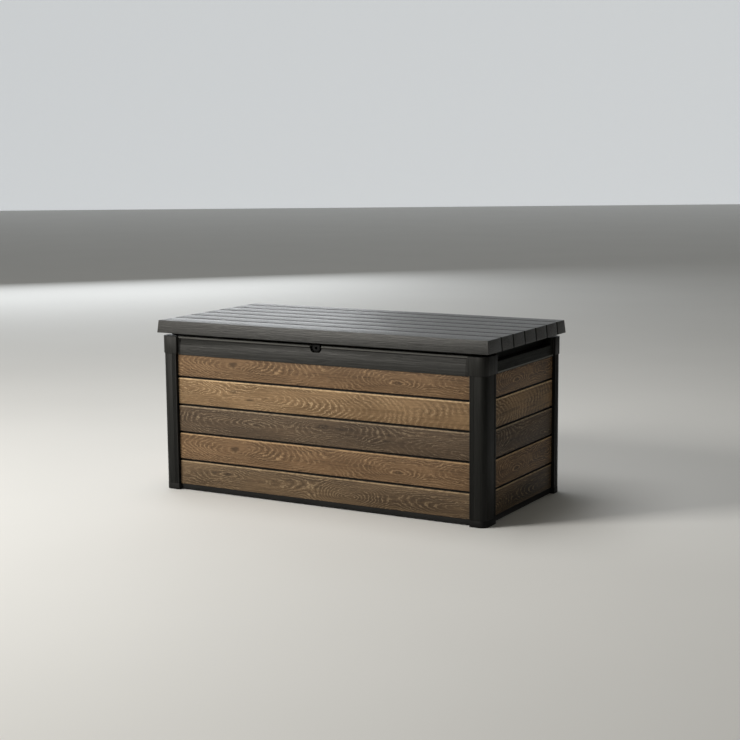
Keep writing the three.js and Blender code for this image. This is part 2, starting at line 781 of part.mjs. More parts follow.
function bodyLeafSolid() {
  const half = HINGE_WIDTH / 2;
  const face = FACE_HALF_Y + RAIL_PROUD + GAP - HINGE_Y;
  let leaf = block([-half, half], [face, face + LEAF_THICKNESS], [-50, -4]);
  for (const side of [-1, 1]) {
    const [a, b] = [side * (KNUCKLE_HALF + 0.5), side * half];
    leaf = join(leaf, block([a, b], [face, 0], [-KNUCKLE_RADIUS, -4]), knuckle(a, b));
  }
  return cut(leaf, pinBore());
}

function lidLeafSolid() {
  const half = HINGE_WIDTH / 2;
  const low = PLATE_BOTTOM - HINGE_Z;
  const high = PLATE_TOP - HINGE_Z;
  const leaf = join(
    block([-half, half], [-76, -8.5], [low, high]),
    block([-KNUCKLE_HALF, KNUCKLE_HALF], [-9, 0], [low, high]),
    knuckle(-KNUCKLE_HALF, KNUCKLE_HALF),
  );
  return cut(leaf, pinBore());
}

function hingePinSolid() {
  const half = HINGE_WIDTH / 2;
  return join(
    pinX(PIN_RADIUS, -half - 3, half + 3, 0, 0),
    pinX(PIN_RADIUS + 1.5, -half - 3, -half - GAP, 0, 0),
    pinX(PIN_RADIUS + 1.5, half + GAP, half + 3, 0, 0),
  );
}

for (const [name, x] of Object.entries(HINGE_XS)) {
  const hinge = new THREE.Group();
  hinge.position.set(x, HINGE_Y, HINGE_Z);
  hinge.add(
    piece(`hinge_body_leaf_${name}`, toGeometry(bodyLeafSolid()), FINISHES.blackSteel),
    piece(`hinge_lid_leaf_${name}`, toGeometry(lidLeafSolid()), FINISHES.blackSteel),
    piece(`hinge_pin_${name}`, toGeometry(hingePinSolid()), FINISHES.steel),
  );
  box.add(hinge);
}

// ---------------------------------------------------------------- gas struts

// Each strut is made along its own z from its lower pivot, then leaned back.
const strutReach = Math.hypot(STRUT_HEAD.y - STRUT_FOOT.y, STRUT_HEAD.z - STRUT_FOOT.z);
const strutLean = Math.atan2(STRUT_FOOT.y - STRUT_HEAD.y, STRUT_HEAD.z - STRUT_FOOT.z);

function eye(z) {
  return pinX(EYE_RADIUS, -EYE_WIDTH / 2, EYE_WIDTH / 2, 0, z);
}

function eyeBore(z) {
  return pinX(STUD_RADIUS + 0.4, -EYE_WIDTH, EYE_WIDTH, 0, z);
}

function strutTubeSolid() {
  const neck = pinZ(5, 5, 16, 0, 0);
  const tube = pinZ(STRUT_TUBE_RADIUS, 14, STRUT_TUBE_END, 0, 0);
  const bore = pinZ(STRUT_ROD_RADIUS + 0.6, 22, STRUT_TUBE_END + 1, 0, 0);
  return cut(join(eye(0), neck, tube), bore, eyeBore(0));
}

function strutRodSolid() {
  const rod = pinZ(STRUT_ROD_RADIUS, 28, strutReach - 6, 0, 0);
  const collar = pinZ(6, STRUT_TUBE_END + 4, strutReach - 5, 0, 0);
  return cut(join(eye(strutReach), rod, collar), eyeBore(strutReach));
}

// The lower bracket is screwed to the inside of a side wall.
function bodyBracketSolid(side) {
  const backOfPlank = FACE_HALF_X - PLANK_THICKNESS - GAP;
  const { y, z } = STRUT_FOOT;
  const alongX = (a, b, radius) => pinX(radius, side * a, side * b, y, z);
  const eyeFace = STRUT_X + EYE_WIDTH / 2 + 0.5;
  const eyeBack = STRUT_X - EYE_WIDTH / 2 - 0.5;
  return join(
    block([side * (backOfPlank - 3), side * backOfPlank], [y - 30, y + 8], [z - 32, z + 32]),
    alongX(eyeFace, backOfPlank - 2, 7),
    alongX(eyeBack - 1, eyeFace + 1, STUD_RADIUS),
    alongX(eyeBack - 2.5, eyeBack, 6),
  );
}

// The upper bracket hangs from the liner. Its stud stops just short of the
// rod's eye, because the strut follows the lid only by its two couplings.
function lidBracketSolid(side) {
  const { y, z } = STRUT_HEAD;
  const ear = 4;
  const eyeBack = STRUT_X - EYE_WIDTH / 2;
  const earTo = eyeBack - 9;
  const earOutline = new THREE.Shape();
  earOutline.moveTo(y - 9, z);
  earOutline.absarc(y, z, 9, Math.PI, 2 * Math.PI, false);
  earOutline.lineTo(y + 16, PLATE_BOTTOM + 1);
  earOutline.lineTo(y - 16, PLATE_BOTTOM + 1);
  const [a, b] = [side * (earTo - ear), side * earTo];
  const [c, d] = [side * (earTo - 1), side * (eyeBack - 0.5)];
  return join(
    block([side * (earTo - ear), side * (STRUT_X + 8)], [y - 26, y + 26], [PLATE_BOTTOM, PLATE_TOP]),
    prismX(earOutline, Math.min(a, b), Math.max(a, b)),
    pinX(STUD_RADIUS, c, d, y, z),
  );
}

for (const [name, side] of [['left', -1], ['right', 1]]) {
  const tube = piece(`strut_cylinder_${name}`, toGeometry(strutTubeSolid()), FINISHES.blackSteel);
  const rod = piece(`strut_rod_${name}`, toGeometry(strutRodSolid()), FINISHES.steel);
  const strut = new THREE.Group();
  strut.position.set(side * STRUT_X, STRUT_FOOT.y, STRUT_FOOT.z);
  strut.rotation.x = strutLean;
  strut.add(tube, rod);
  box.add(
    strut,
    piece(`strut_bracket_body_${name}`, toGeometry(bodyBracketSolid(side)), FINISHES.blackSteel),
  );
  lid.add(piece(`strut_bracket_lid_${name}`, toGeometry(lidBracketSolid(side)), FINISHES.blackSteel));
}

// ---------------------------------------------------------------------- lock

// A tongue under the lid hangs in front of a staple in the front rail's pocket;
// one hole through both takes a padlock's shackle.
const LOCK_HALF = 17;

function lockPlate(from, to, bottom, top) {
  return cut(
    prismY(pocketOutline(LOCK_HALF, bottom, top, 14), from, to),
    pinY(LOCK_HOLE_RADIUS, from - 1, to + 1, 0, LOCK_HOLE_Z),
  );
}

const tongue = join(
  lockPlate(3, 8, POCKET_BOTTOM + 3, PLATE_TOP),
  block([-LOCK_HALF, LOCK_HALF], [3, 44], [PLATE_BOTTOM, PLATE_TOP]),
);

function stapleSolid() {
  let staple = lockPlate(9, 13, POCKET_BOTTOM + 4, RAIL_TOP - 5);
  for (const side of [-1, 1]) {
    staple = join(
      staple,
      block([side * 12, side * 16], [12, POCKET_DEPTH - GAP], [RAIL_TOP - 14, RAIL_TOP - 6]),
    );
  }
  return staple;
}

wallGroups.front.add(
  piece('lock_tongue', toGeometry(tongue), FINISHES.post),
  piece('lock_staple', toGeometry(stapleSolid()), FINISHES.post),
);

export default box;
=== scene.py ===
"""Looks of a deck storage box: wood-look plank walls, charcoal resin trim and a boarded lid."""

import math

import bmesh
import bpy
from mathutils import Matrix, Vector


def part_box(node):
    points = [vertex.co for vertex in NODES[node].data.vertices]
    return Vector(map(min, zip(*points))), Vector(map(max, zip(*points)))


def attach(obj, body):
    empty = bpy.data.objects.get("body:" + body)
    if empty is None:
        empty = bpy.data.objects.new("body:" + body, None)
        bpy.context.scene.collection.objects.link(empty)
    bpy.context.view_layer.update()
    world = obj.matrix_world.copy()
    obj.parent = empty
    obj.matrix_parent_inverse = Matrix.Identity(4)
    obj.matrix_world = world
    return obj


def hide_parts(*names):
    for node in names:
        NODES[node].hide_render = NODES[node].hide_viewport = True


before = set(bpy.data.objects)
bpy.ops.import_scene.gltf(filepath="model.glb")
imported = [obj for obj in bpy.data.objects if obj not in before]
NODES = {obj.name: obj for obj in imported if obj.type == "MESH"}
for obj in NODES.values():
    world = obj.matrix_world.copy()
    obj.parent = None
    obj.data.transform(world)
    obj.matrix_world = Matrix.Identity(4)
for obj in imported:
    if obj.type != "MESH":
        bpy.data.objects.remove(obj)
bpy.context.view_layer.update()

WALLS = ("front", "back", "left", "right")
CORNERS = ("front_left", "front_right", "back_left", "back_right")
SIDES = (("left", -1), ("right", 1))
HINGES = ("left", "centre", "right")
ROWS = 5

# ---------------------------------------------------------------- camera and room

CAMERA_AT = Vector((3.215, -5.529, 1.477))
CAMERA_YAW = math.radians(-29.80)
CAMERA_PITCH = math.radians(-8.60)
CAMERA_ROLL = math.radians(-0.507)
CAMERA_LENS = 75.37


def make_camera():
    data = bpy.data.cameras.new("camera")
    data.lens = CAMERA_LENS
    data.sensor_width = 36.0
    camera = bpy.data.objects.new("camera", data)
    bpy.context.scene.collection.objects.link(camera)
    ahead = Vector((
        math.sin(CAMERA_YAW) * math.cos(CAMERA_PITCH),
        math.cos(CAMERA_YAW) * math.cos(CAMERA_PITCH),
        math.sin(CAMERA_PITCH),
    ))
    level = Vector((math.cos(CAMERA_YAW), -math.sin(CAMERA_YAW), 0.0))
    upright = level.cross(ahead)
    right = level * math.cos(CAMERA_ROLL) + upright * math.sin(CAMERA_ROLL)
    up = upright * math.cos(CAMERA_ROLL) - level * math.sin(CAMERA_ROLL)
    turn = Matrix((right, up, -ahead)).transposed().to_4x4()
    camera.matrix_world = Matrix.Translation(CAMERA_AT) @ turn
    bpy.context.scene.camera = camera


def area_light(name, at, target, size, power, colour=(1.0, 1.0, 1.0)):
    data = bpy.data.lights.new(name, "AREA")
    data.shape = "RECTANGLE"
    data.size, data.size_y = size
    data.energy = power
    data.color = colour
    light = bpy.data.objects.new(name, data)
    bpy.context.scene.collection.objects.link(light)
    light.location = at
    light.rotation_euler = (Vector(target) - Vector(at)).to_track_quat("-Z", "Y").to_euler()


def flat_sheet(name, corners, material):
    mesh = bpy.data.meshes.new(name)
    mesh.from_pydata(corners, [], [(0, 1, 2, 3)])
    mesh.materials.append(material)
    sheet = bpy.data.objects.new(name, mesh)
    bpy.context.scene.collection.objects.link(sheet)


FLOOR_HALF = 30.0
BACKDROP_AWAY = 26.0
BACKDROP_HALF = 34.0
BACKDROP_TOP = 26.0


def make_room():
    """A pale floor, a pale backdrop far behind, a soft key from the front left and a sky panel."""
    world = bpy.data.worlds.new("room")
    world.use_nodes = True
    world.node_tree.nodes["Background"].inputs["Color"].default_value = (1.0, 0.95, 0.80, 1.0)
    world.node_tree.nodes["Background"].inputs["Strength"].default_value = 0.10
    bpy.context.scene.world = world
    bpy.context.scene.view_settings.view_transform = "Standard"
    area_light("key", (-4.4, -5.0, 3.4), (-0.2, 0.0, 0.35), (2.0, 2.0), 440.0, (1.0, 0.965, 0.90))
    area_light("top", (-0.9, -0.3, 4.4), (0.0, 0.0, 0.5), (3.0, 2.0), 85.0, (1.0, 0.99, 0.97))
    area_light("sky_panel", (-7.2, 6.7, 2.3), (-0.4, 0.0, 0.7), (6.2, 2.6), 175.0, (0.95, 0.98, 1.0))
    paint = Look("floor_paint")
    mottle = paint.noise(paint.vector(paint.x, paint.y, paint.z), detail=2.0)
    tone = paint.mix(mottle, paint.colour((0.70, 0.70, 0.69)), paint.colour((0.74, 0.74, 0.73)))
    paint.shade(tone, roughness=0.9)
    half = FLOOR_HALF
    floor_corners = [(-half, -half, 0), (half, -half, 0), (half, half, 0), (-half, half, 0)]
    flat_sheet("floor", floor_corners, paint.material)
    away = Vector((math.sin(CAMERA_YAW), math.cos(CAMERA_YAW), 0.0))
    across = Vector((away.y, -away.x, 0.0))
    foot = away * BACKDROP_AWAY
    glow = Look("backdrop_paint")
    glow.shade(glow.colour((0.5, 0.5, 0.5)), roughness=0.9)
    glow.surface.inputs["Emission Color"].default_value = (0.93, 0.97, 1.0, 1.0)
    glow.surface.inputs["Emission Strength"].default_value = 0.55
    up = Vector((0.0, 0.0, BACKDROP_TOP))
    left, right = foot - across * BACKDROP_HALF, foot + across * BACKDROP_HALF
    flat_sheet("backdrop", [left, right, right + up, left + up], glow.material)


# ---------------------------------------------------------------------- materials


class Look:
    """A small builder for one node material. Coordinates are in metres, in the part's frame."""

    def __init__(self, name):
        self.material = bpy.data.materials.new(name)
        self.material.use_nodes = True
        self.tree = self.material.node_tree
        self.surface = self.tree.nodes["Principled BSDF"]
        coordinates = self.tree.nodes.new("ShaderNodeTexCoord")
        split = self.tree.nodes.new("ShaderNodeSeparateXYZ")
        self.tree.links.new(coordinates.outputs["Object"], split.inputs[0])
        self.x, self.y, self.z = split.outputs

    def put(self, socket, value):
        if isinstance(value, bpy.types.NodeSocket):
            self.tree.links.new(value, socket)
        else:
            socket.default_value = value

    def math(self, operation, *values, clamp=False):
        node = self.tree.nodes.new("ShaderNodeMath")
        node.operation = operation
        node.use_clamp = clamp
        for socket, value in zip(node.inputs, values):
            self.put(socket, value)
        return node.outputs[0]

    def vector(self, x, y, z=0.0):
        node = self.tree.nodes.new("ShaderNodeCombineXYZ")
        for socket, value in zip(node.inputs, (x, y, z)):
            self.put(socket, value)
        return node.outputs[0]

    def scaled(self, socket, factor, offset=0.0):
        return self.math("MULTIPLY_ADD", socket, factor, offset)

    def place(self, x_scale, y_scale, z_scale):
        """The point shaded, with each axis scaled by its own number."""
        x = self.scaled(self.x, x_scale)
        y = self.scaled(self.y, y_scale)
        z = self.scaled(self.z, z_scale)
        return self.vector(x, y, z)

    def noise(self, vector, detail=2.0, roughness=0.5):
        node = self.tree.nodes.new("ShaderNodeTexNoise")
        node.inputs["Scale"].default_value = 1.0
        node.inputs["Detail"].default_value = detail
        node.inputs["Roughness"].default_value = roughness
        self.put(node.inputs["Vector"], vector)
        return node.outputs["Fac"]

    def step(self, value, low, high, to_low=0.0, to_high=1.0):
        node = self.tree.nodes.new("ShaderNodeMapRange")
        node.interpolation_type = "SMOOTHSTEP"
        for socket, number in zip(node.inputs, (value, low, high, to_low, to_high)):
            self.put(socket, number)
        return node.outputs[0]

    def colour(self, rgb):
        return (*rgb, 1.0)

    def mix(self, factor, first, second, blend="MIX"):
        node = self.tree.nodes.new("ShaderNodeMix")
        node.data_type = "RGBA"
        node.blend_type = blend
        self.put(node.inputs[0], factor)
        self.put(node.inputs[6], first)
        self.put(node.inputs[7], second)
        return node.outputs[2]

    def bump(self, height, distance, strength=1.0, under=None):
        node = self.tree.nodes.new("ShaderNodeBump")
        node.inputs["Strength"].default_value = strength
        node.inputs["Distance"].default_value = distance
        self.put(node.inputs["Height"], height)
        if under is not None:
            self.put(node.inputs["Normal"], under)
        return node.outputs[0]

    def shade(self, colour, roughness=0.5, metallic=0.0, normal=None, specular=0.5):
        self.put(self.surface.inputs["Base Color"], colour)
        self.put(self.surface.inputs["Roughness"], roughness)
        self.surface.inputs["Metallic"].default_value = metallic
        self.surface.inputs["Specular IOR Level"].default_value = specular
        if normal is not None:
            self.put(self.surface.inputs["Normal"], normal)


# One moulded grain pattern per plank row. dark and light are the two tones of the print and
# line the raised light lines. seed is the place in the noise. eyes are the centres of nested
# ovals: along and height in metres, and how many times longer than high the ovals are. knots
# are dark spots. fade darkens the row towards its right end and sparse thins its lines there.
DESIGN_MID = {
    "dark": (0.092, 0.052, 0.025), "light": (0.205, 0.122, 0.062), "line": (0.36, 0.235, 0.125),
    "seed": 3.7, "fade": 0.0,
    "sparse": 0.0,
    "eyes": ((-0.41, 0.012, 5.0), (0.37, -0.004, 3.4), (0.64, 0.010, 3.0)),
    "knots": ((-0.41, 0.014, 0.62), (0.37, -0.004, 0.35)),
}
DESIGNS = {
    1: {
        "dark": (0.078, 0.050, 0.028), "light": (0.172, 0.113, 0.062), "line": (0.30, 0.215, 0.125),
        "seed": 11.3, "fade": 0.36, "sparse": 0.3,
        "eyes": ((-0.42, 0.014, 5.5), (0.16, -0.012, 2.8), (0.74, 0.0, 7.0)),
        "knots": ((-0.44, 0.014, 0.5), (0.0, 0.03, 0.25)),
    },
    2: DESIGN_MID,
    3: {
        "dark": (0.052, 0.034, 0.021), "light": (0.118, 0.079, 0.048), "line": (0.26, 0.195, 0.125),
        "seed": 21.9, "fade": 0.05, "sparse": 0.3,
        "eyes": ((-0.28, 0.004, 4.2), (0.05, 0.010, 5.5), (0.66, -0.03, 5.0)),
        "knots": ((0.03, 0.012, 0.62), (0.10, 0.008, 0.5)),
    },
    4: {
        "dark": (0.150, 0.090, 0.042), "light": (0.285, 0.180, 0.092), "line": (0.50, 0.355, 0.205),
        "seed": 33.1, "fade": 0.0, "sparse": 0.5,
        "eyes": ((-0.31, -0.012, 4.4), (-0.66, 0.02, 6.0)),
        "knots": ((-0.31, -0.012, 0.7), (-0.40, 0.026, 0.4)),
    },
    5: DESIGN_MID,
}
SIDE_SHIFT = 0.42  # where on the long pattern a side plank's middle lies
LINES_PER_METRE = 162.0
TIP_ROUND = 0.010  # half height at which an oval's pointed end is rounded off
KNOT_LENGTH = 0.021
KNOT_HEIGHT = 0.008
# Heights above a plank's middle, with the plank's pitch as the driving length.
HALF_PITCH = 0.0589
# Painted shade fills the joint above this height.
FIRST_PITCH = 0.0122  # height of the lowest plank's joint plane
# A painted highlight on the top bevel starts at this height.
JOINT_EDGE = HALF_PITCH - 0.0035
HIGHLIGHT_EDGE = HALF_PITCH - 0.0098
# Painted shade on the bottom edge reaches up to this height.
SHADE_EDGE = -HALF_PITCH + 0.0043
# Near-black painted shade, for the plank joints and the line round the front rail's scoop.
PAINTED_SHADE = (0.004, 0.003, 0.002)


def grain_field(look, design, a, h):
    """The rings' phase: distance to the nearest eye, with ovals longer than they are high."""
    nearest = None
    for eye_a, eye_h, longer in design["eyes"]:
        along = look.scaled(a, 1.0 / longer, -eye_a / longer)
        up = look.scaled(h, 1.0, -eye_h)
        square = look.math("ADD", look.math("MULTIPLY", along, along), look.math("MULTIPLY", up, up))
        reach = look.math("SQRT", look.scaled(square, 1.0, TIP_ROUND ** 2))
        nearest = reach if nearest is None else look.math("SMOOTH_MIN", nearest, reach, 0.03)
    return look.scaled(nearest, LINES_PER_METRE)


def oak_print(name, design, along, height):
    """Resin with an oak figure: nested ovals and arches in thin raised lines, streaks and knots."""
    look = Look(name)
    a = along(look)
    h = height(look)
    seed = design["seed"]

    def at(along_scale, up_scale, shift):
        return look.vector(look.scaled(a, along_scale), look.scaled(h, up_scale), seed + shift)

    sway = look.noise(at(3.4, 9.0, 0.0), detail=2.0)
    wobble = look.noise(at(17.0, 42.0, 5.0), detail=3.0, roughness=0.6)
    jag = look.noise(at(75.0, 120.0, 9.0), detail=2.0)
    lift = look.math("ADD", look.scaled(sway, 0.075, -0.0375), look.scaled(wobble, 0.018, -0.009))
    bent_h = look.math("ADD", h, lift)
    bent_a = look.math("ADD", a, look.scaled(look.noise(at(4.0, 16.0, 13.0), detail=2.0), 0.10, -0.05))
    rings = grain_field(look, design, bent_a, bent_h)
    rings = look.math("ADD", rings, look.scaled(jag, 1.05))
    rings = look.math("ADD", rings, look.scaled(look.noise(at(2.1, 2.0, 17.0), detail=1.0), 9.0))
    ridge = look.math("ABSOLUTE", look.scaled(look.math("FRACT", rings), 2.0, -1.0))
    line = look.step(ridge, 0.66, 0.92)
    # The lines show in patches and are broken up along their length.
    patch = look.step(look.noise(at(5.0, 19.0, 31.0), detail=3.0), 0.36, 0.60)
    broken = look.step(look.noise(at(48.0, 110.0, 37.0), detail=2.0), 0.36, 0.58)
    strength = look.math("MULTIPLY", look.scaled(patch, 0.72, 0.28), look.scaled(broken, 0.75, 0.25))
    strength = look.math("MULTIPLY", strength, look.step(a, -0.05, 0.35, 1.0, 1.0 - design["sparse"]))
    shown = look.math("MULTIPLY", line, strength)
    streak = look.noise(at(5.0, 150.0, 41.0), detail=4.0, roughness=0.62)
    fibre = look.noise(at(22.0, 620.0, 43.0), detail=3.0, roughness=0.6)
    pores = look.step(look.noise(at(40.0, 420.0, 47.0), detail=2.0), 0.58, 0.70)
    blotch = look.noise(at(3.0, 13.0, 53.0), detail=4.0, roughness=0.55)
    tone = look.scaled(look.step(blotch, 0.28, 0.70), 0.55, 0.05)
    tone = look.math("ADD", tone, look.scaled(streak, 2.10, -0.82))
    tone = look.math("ADD", tone, look.scaled(fibre, 0.90, -0.45))
    tone = look.math("SUBTRACT", tone, look.step(a, -0.40, 0.45, 0.0, design["fade"]), clamp=True)
    base = look.mix(tone, look.colour(design["dark"]), look.colour(design["light"]))
    shadow = tuple(c * 0.32 for c in design["dark"])
    valley = look.math("MULTIPLY", look.step(ridge, 0.0, 0.36, 0.52, 0.0), look.scaled(patch, 0.8, 0.2))
    base = look.mix(valley, base, look.colour(shadow))
    base = look.mix(look.scaled(pores, 0.42), base, look.colour(shadow))
    for knot_a, knot_h, depth in design["knots"]:
        across = look.scaled(bent_a, 1 / KNOT_LENGTH, -knot_a / KNOT_LENGTH)
        up = look.scaled(bent_h, 1 / KNOT_HEIGHT, -knot_h / KNOT_HEIGHT)
        reach = look.math("ADD", look.math("MULTIPLY", across, across), look.math("MULTIPLY", up, up))
        base = look.mix(look.step(reach, 0.1, 1.5, depth, 0.0), base, look.colour(shadow))
    base = look.mix(look.scaled(shown, 0.95), base, look.colour(design["line"]))
    # Painted light and shade: the top bevel is painted pale as a highlight, where it would catch light, and
    # the bottom edge and the joint are painted dark as shade in the joint.
    pale = look.math("MULTIPLY", look.step(h, HIGHLIGHT_EDGE, HIGHLIGHT_EDGE + 0.0015), look.scaled(broken, 0.5, 0.5))
    highlight_tone = tuple(c * 1.3 for c in design["line"])
    base = look.mix(look.scaled(pale, 0.85), base, look.colour(highlight_tone))
    base = look.mix(look.step(h, SHADE_EDGE, SHADE_EDGE + 0.0022, 1.0, 0.0), base, look.colour(PAINTED_SHADE))
    base = look.mix(look.step(h, JOINT_EDGE - 0.0008, JOINT_EDGE), base, look.colour(PAINTED_SHADE))
    relief = look.math("ADD", look.scaled(shown, 0.9), look.scaled(streak, 0.5))
    relief = look.math("SUBTRACT", relief, look.scaled(pores, 0.3))
    look.shade(base, look.scaled(streak, 0.20, 0.44), normal=look.bump(relief, 0.0008, 0.8), specular=0.22)
    return look.material


def plank_materials():
    """One material per row for the long walls and one for the side walls."""
    made = {}
    for row, design in DESIGNS.items():
        middle = FIRST_PITCH + HALF_PITCH * (2 * row - 1)

        def height(look, middle=middle):
            return look.scaled(look.z, 1.0, -middle)

        def along_side(look):
            return look.scaled(look.y, 1.0, SIDE_SHIFT)

        long_wall = oak_print(f"oak_row_{row}_long", design, lambda look: look.x, height)
        # The side planks' print is given more contrast, because the end wall is in shade.
        crisp = {**design, "dark": tuple(c * 0.5 for c in design["dark"])}
        crisp["light"] = tuple(c * 1.05 for c in design["light"])
        crisp["line"] = tuple(c * 1.3 for c in design["line"])
        side_wall = oak_print(f"oak_row_{row}_side", crisp, along_side, height)
        made[row] = {"front": long_wall, "back": long_wall, "left": side_wall, "right": side_wall}
    return made


def embossed_resin(
    name, dark, light, run, roughness, relief, grain=1.0, specular=0.3, shadow_line=None, highlight_line=None,
):
    """Charcoal resin with a fine wood emboss along one axis, faint scuffs and an uneven tone, with an
    optional painted shadow line and painted highlight line.
    """
    look = Look(name)
    axes = {"x": look.x, "y": look.y, "z": look.z}
    along = axes.pop(run)
    one, two = axes.values()
    sway_at = look.vector(look.scaled(along, 3.0), look.scaled(one, 18.0), look.scaled(two, 18.0))
    wave = look.noise(sway_at, detail=2.0)
    fine = look.noise(
        look.vector(
            look.scaled(along, 5.0 * grain),
            look.math("ADD", look.scaled(one, 170.0 * grain), look.scaled(wave, 9.0)),
            look.scaled(two, 170.0 * grain),
        ), detail=5.0, roughness=0.62)
    broad_at = look.vector(look.scaled(along, 1.4), look.scaled(one, 9.0), look.scaled(two, 9.0))
    broad = look.noise(broad_at, detail=3.0)
    pits = look.noise(look.place(900.0, 900.0, 900.0), detail=1.0)
    streak = look.step(fine, 0.36, 0.66)
    tone = look.math("ADD", look.scaled(streak, 0.55), look.scaled(broad, 0.6, -0.1), clamp=True)
    base = look.mix(tone, look.colour(dark), look.colour(light))
    # Optional painted lines: a shadow line in near black and a highlight line in a pale tone.
    if shadow_line is not None:
        base = look.mix(shadow_line(look), base, look.colour(PAINTED_SHADE))
    if highlight_line is not None:
        base = look.mix(highlight_line(look), base, look.colour(HIGHLIGHT_RESIN))
    height = look.math("ADD", look.scaled(streak, 0.8), look.scaled(pits, 0.12))
    rough = look.scaled(streak, -0.08, roughness + 0.04)
    look.shade(base, rough, normal=look.bump(height, relief, 0.8), specular=specular)
    return look.material


# Pale tone for painted highlights on the front rail's border and the side rails' ledge.
HIGHLIGHT_RESIN = (0.20, 0.20, 0.185)
LEDGE_FROM = 0.5795
LEDGE_TO = 0.5845
LEDGE_BLEND = 0.001


def ledge_edge(look):
    """A painted pale line along the sloped ledge of a side rail, where it would catch light."""
    above = look.step(look.z, LEDGE_FROM, LEDGE_FROM + LEDGE_BLEND)
    below = look.step(look.z, LEDGE_TO, LEDGE_TO + LEDGE_BLEND, 1.0, 0.0)
    return look.math("MULTIPLY", above, below)


SCOOP_TOP = 0.646
SCOOP_END = 0.666
SCOOP_LINE = 0.0020  # half the width of the painted shadow line round the scoop
SCOOP_LINE_END = 0.0036  # where that line has faded out


def border_highlight(look):
    """A painted highlight: a slightly paler tone on the rounded border above the scoop."""
    return look.step(look.z, SCOOP_TOP + SCOOP_LINE, SCOOP_TOP + SCOOP_LINE_END, 0.0, 0.35)


def scoop_shadow(look):
    """A painted shadow: a dark line along the top and the ends of the scoop in the front rail."""
    top = look.math("ABSOLUTE", look.scaled(look.z, 1.0, -SCOOP_TOP))
    end = look.math("ABSOLUTE", look.scaled(look.math("ABSOLUTE", look.x), 1.0, -SCOOP_END))
    below = look.step(look.z, SCOOP_TOP, SCOOP_TOP + 0.001, 1.0, 0.0)
    along = look.step(top, SCOOP_LINE, SCOOP_LINE_END, 0.9, 0.0)
    upright = look.math("MULTIPLY", look.step(end, SCOOP_LINE, SCOOP_LINE_END, 0.9, 0.0), below)
    return look.math("MAXIMUM", along, upright)


GROOVE_PITCH = 0.107
FIRST_GROOVE = -0.249
GROOVE_HALF = 0.0052


def lid_resin():
    """The lid's charcoal resin: fine grain along the boards, and painted shade in the grooves."""
    look = Look("lid_resin_emboss")
    x, y, z = look.x, look.y, look.z
    sway = look.noise(look.place(2.5, 20.0, 20.0), detail=2.0)
    wavy = look.math("ADD", look.scaled(y, 260.0), look.scaled(sway, 9.0))
    fine_at = look.vector(look.scaled(x, 9.0), wavy, look.scaled(z, 260.0))
    fine = look.noise(fine_at, detail=5.0, roughness=0.65)
    speck = look.noise(look.place(110.0, 260.0, 260.0), detail=2.0)
    broad = look.noise(look.place(1.6, 11.0, 11.0), detail=3.0)
    streak = look.step(fine, 0.34, 0.66)
    tone = look.math("ADD", look.scaled(streak, 0.60), look.scaled(broad, 0.5, -0.15))
    tone = look.math("ADD", tone, look.scaled(speck, 0.5, -0.25), clamp=True)
    base = look.mix(tone, look.colour((0.009, 0.009, 0.0083)), look.colour((0.032, 0.0316, 0.029)))
    # Painted shade: the grooves between the lid's boards are painted near black, and made rougher.
    place = look.math("FRACT", look.scaled(y, 1 / GROOVE_PITCH, 0.5 - FIRST_GROOVE / GROOVE_PITCH + 4.0))
    away = look.math("ABSOLUTE", look.scaled(place, GROOVE_PITCH, -0.5 * GROOVE_PITCH))
    groove = look.step(away, GROOVE_HALF * 0.8, GROOVE_HALF * 1.25, 1.0, 0.0)
    inside = look.math("MULTIPLY", look.step(y, FIRST_GROOVE - 0.05, FIRST_GROOVE - 0.04), groove)
    base = look.mix(look.scaled(inside, 0.92), base, look.colour((0.003, 0.003, 0.003)))
    height = look.math("ADD", look.scaled(streak, 0.8), look.scaled(speck, 0.4))
    rough = look.math("ADD", look.scaled(streak, -0.08, 0.46), look.scaled(inside, 0.5))
    look.shade(base, rough, normal=look.bump(height, 0.0006, 0.8), specular=0.5)
    return look.material


def moulded_resin(name, dark, light, roughness=0.6, relief=0.00025, specular=0.4):
    """Plain moulded resin with a fine spark-eroded texture."""
    look = Look(name)
    pits = look.noise(look.place(700.0, 700.0, 700.0), detail=2.0)
    cloud = look.noise(look.place(6.0, 6.0, 6.0), detail=4.0)
    base = look.mix(look.step(cloud, 0.3, 0.7), look.colour(dark), look.colour(light))
    rough = look.scaled(cloud, 0.14, roughness - 0.07)
    look.shade(base, rough, normal=look.bump(pits, relief, 0.6), specular=specular)
    return look.material


def metal(name, dark, light, roughness, metallic, brush=1.0):
    """Plated or coated steel: fine brushing and a cloudy roughness."""
    look = Look(name)
    cloud = look.noise(look.place(25.0, 25.0, 25.0), detail=4.0)
    lines = look.noise(look.place(60.0, 1500.0, 1500.0), detail=2.0)
    base = look.mix(look.step(cloud, 0.3, 0.7), look.colour(dark), look.colour(light))
    brushed = look.scaled(lines, 0.08 * brush, -0.04 * brush)
    rough = look.math("ADD", look.scaled(cloud, 0.16, roughness - 0.08), brushed)
    look.shade(base, rough, metallic=metallic, normal=look.bump(lines, 0.00004 * brush, 0.5))
    return look.material


OAK = plank_materials()
LID_RESIN = lid_resin()
TRIM_RESIN = embossed_resin(
    "trim_resin_emboss", (0.009, 0.009, 0.0083), (0.034, 0.0335, 0.031), "x", 0.52, 0.0008,
    specular=0.3, shadow_line=scoop_shadow, highlight_line=border_highlight,
)
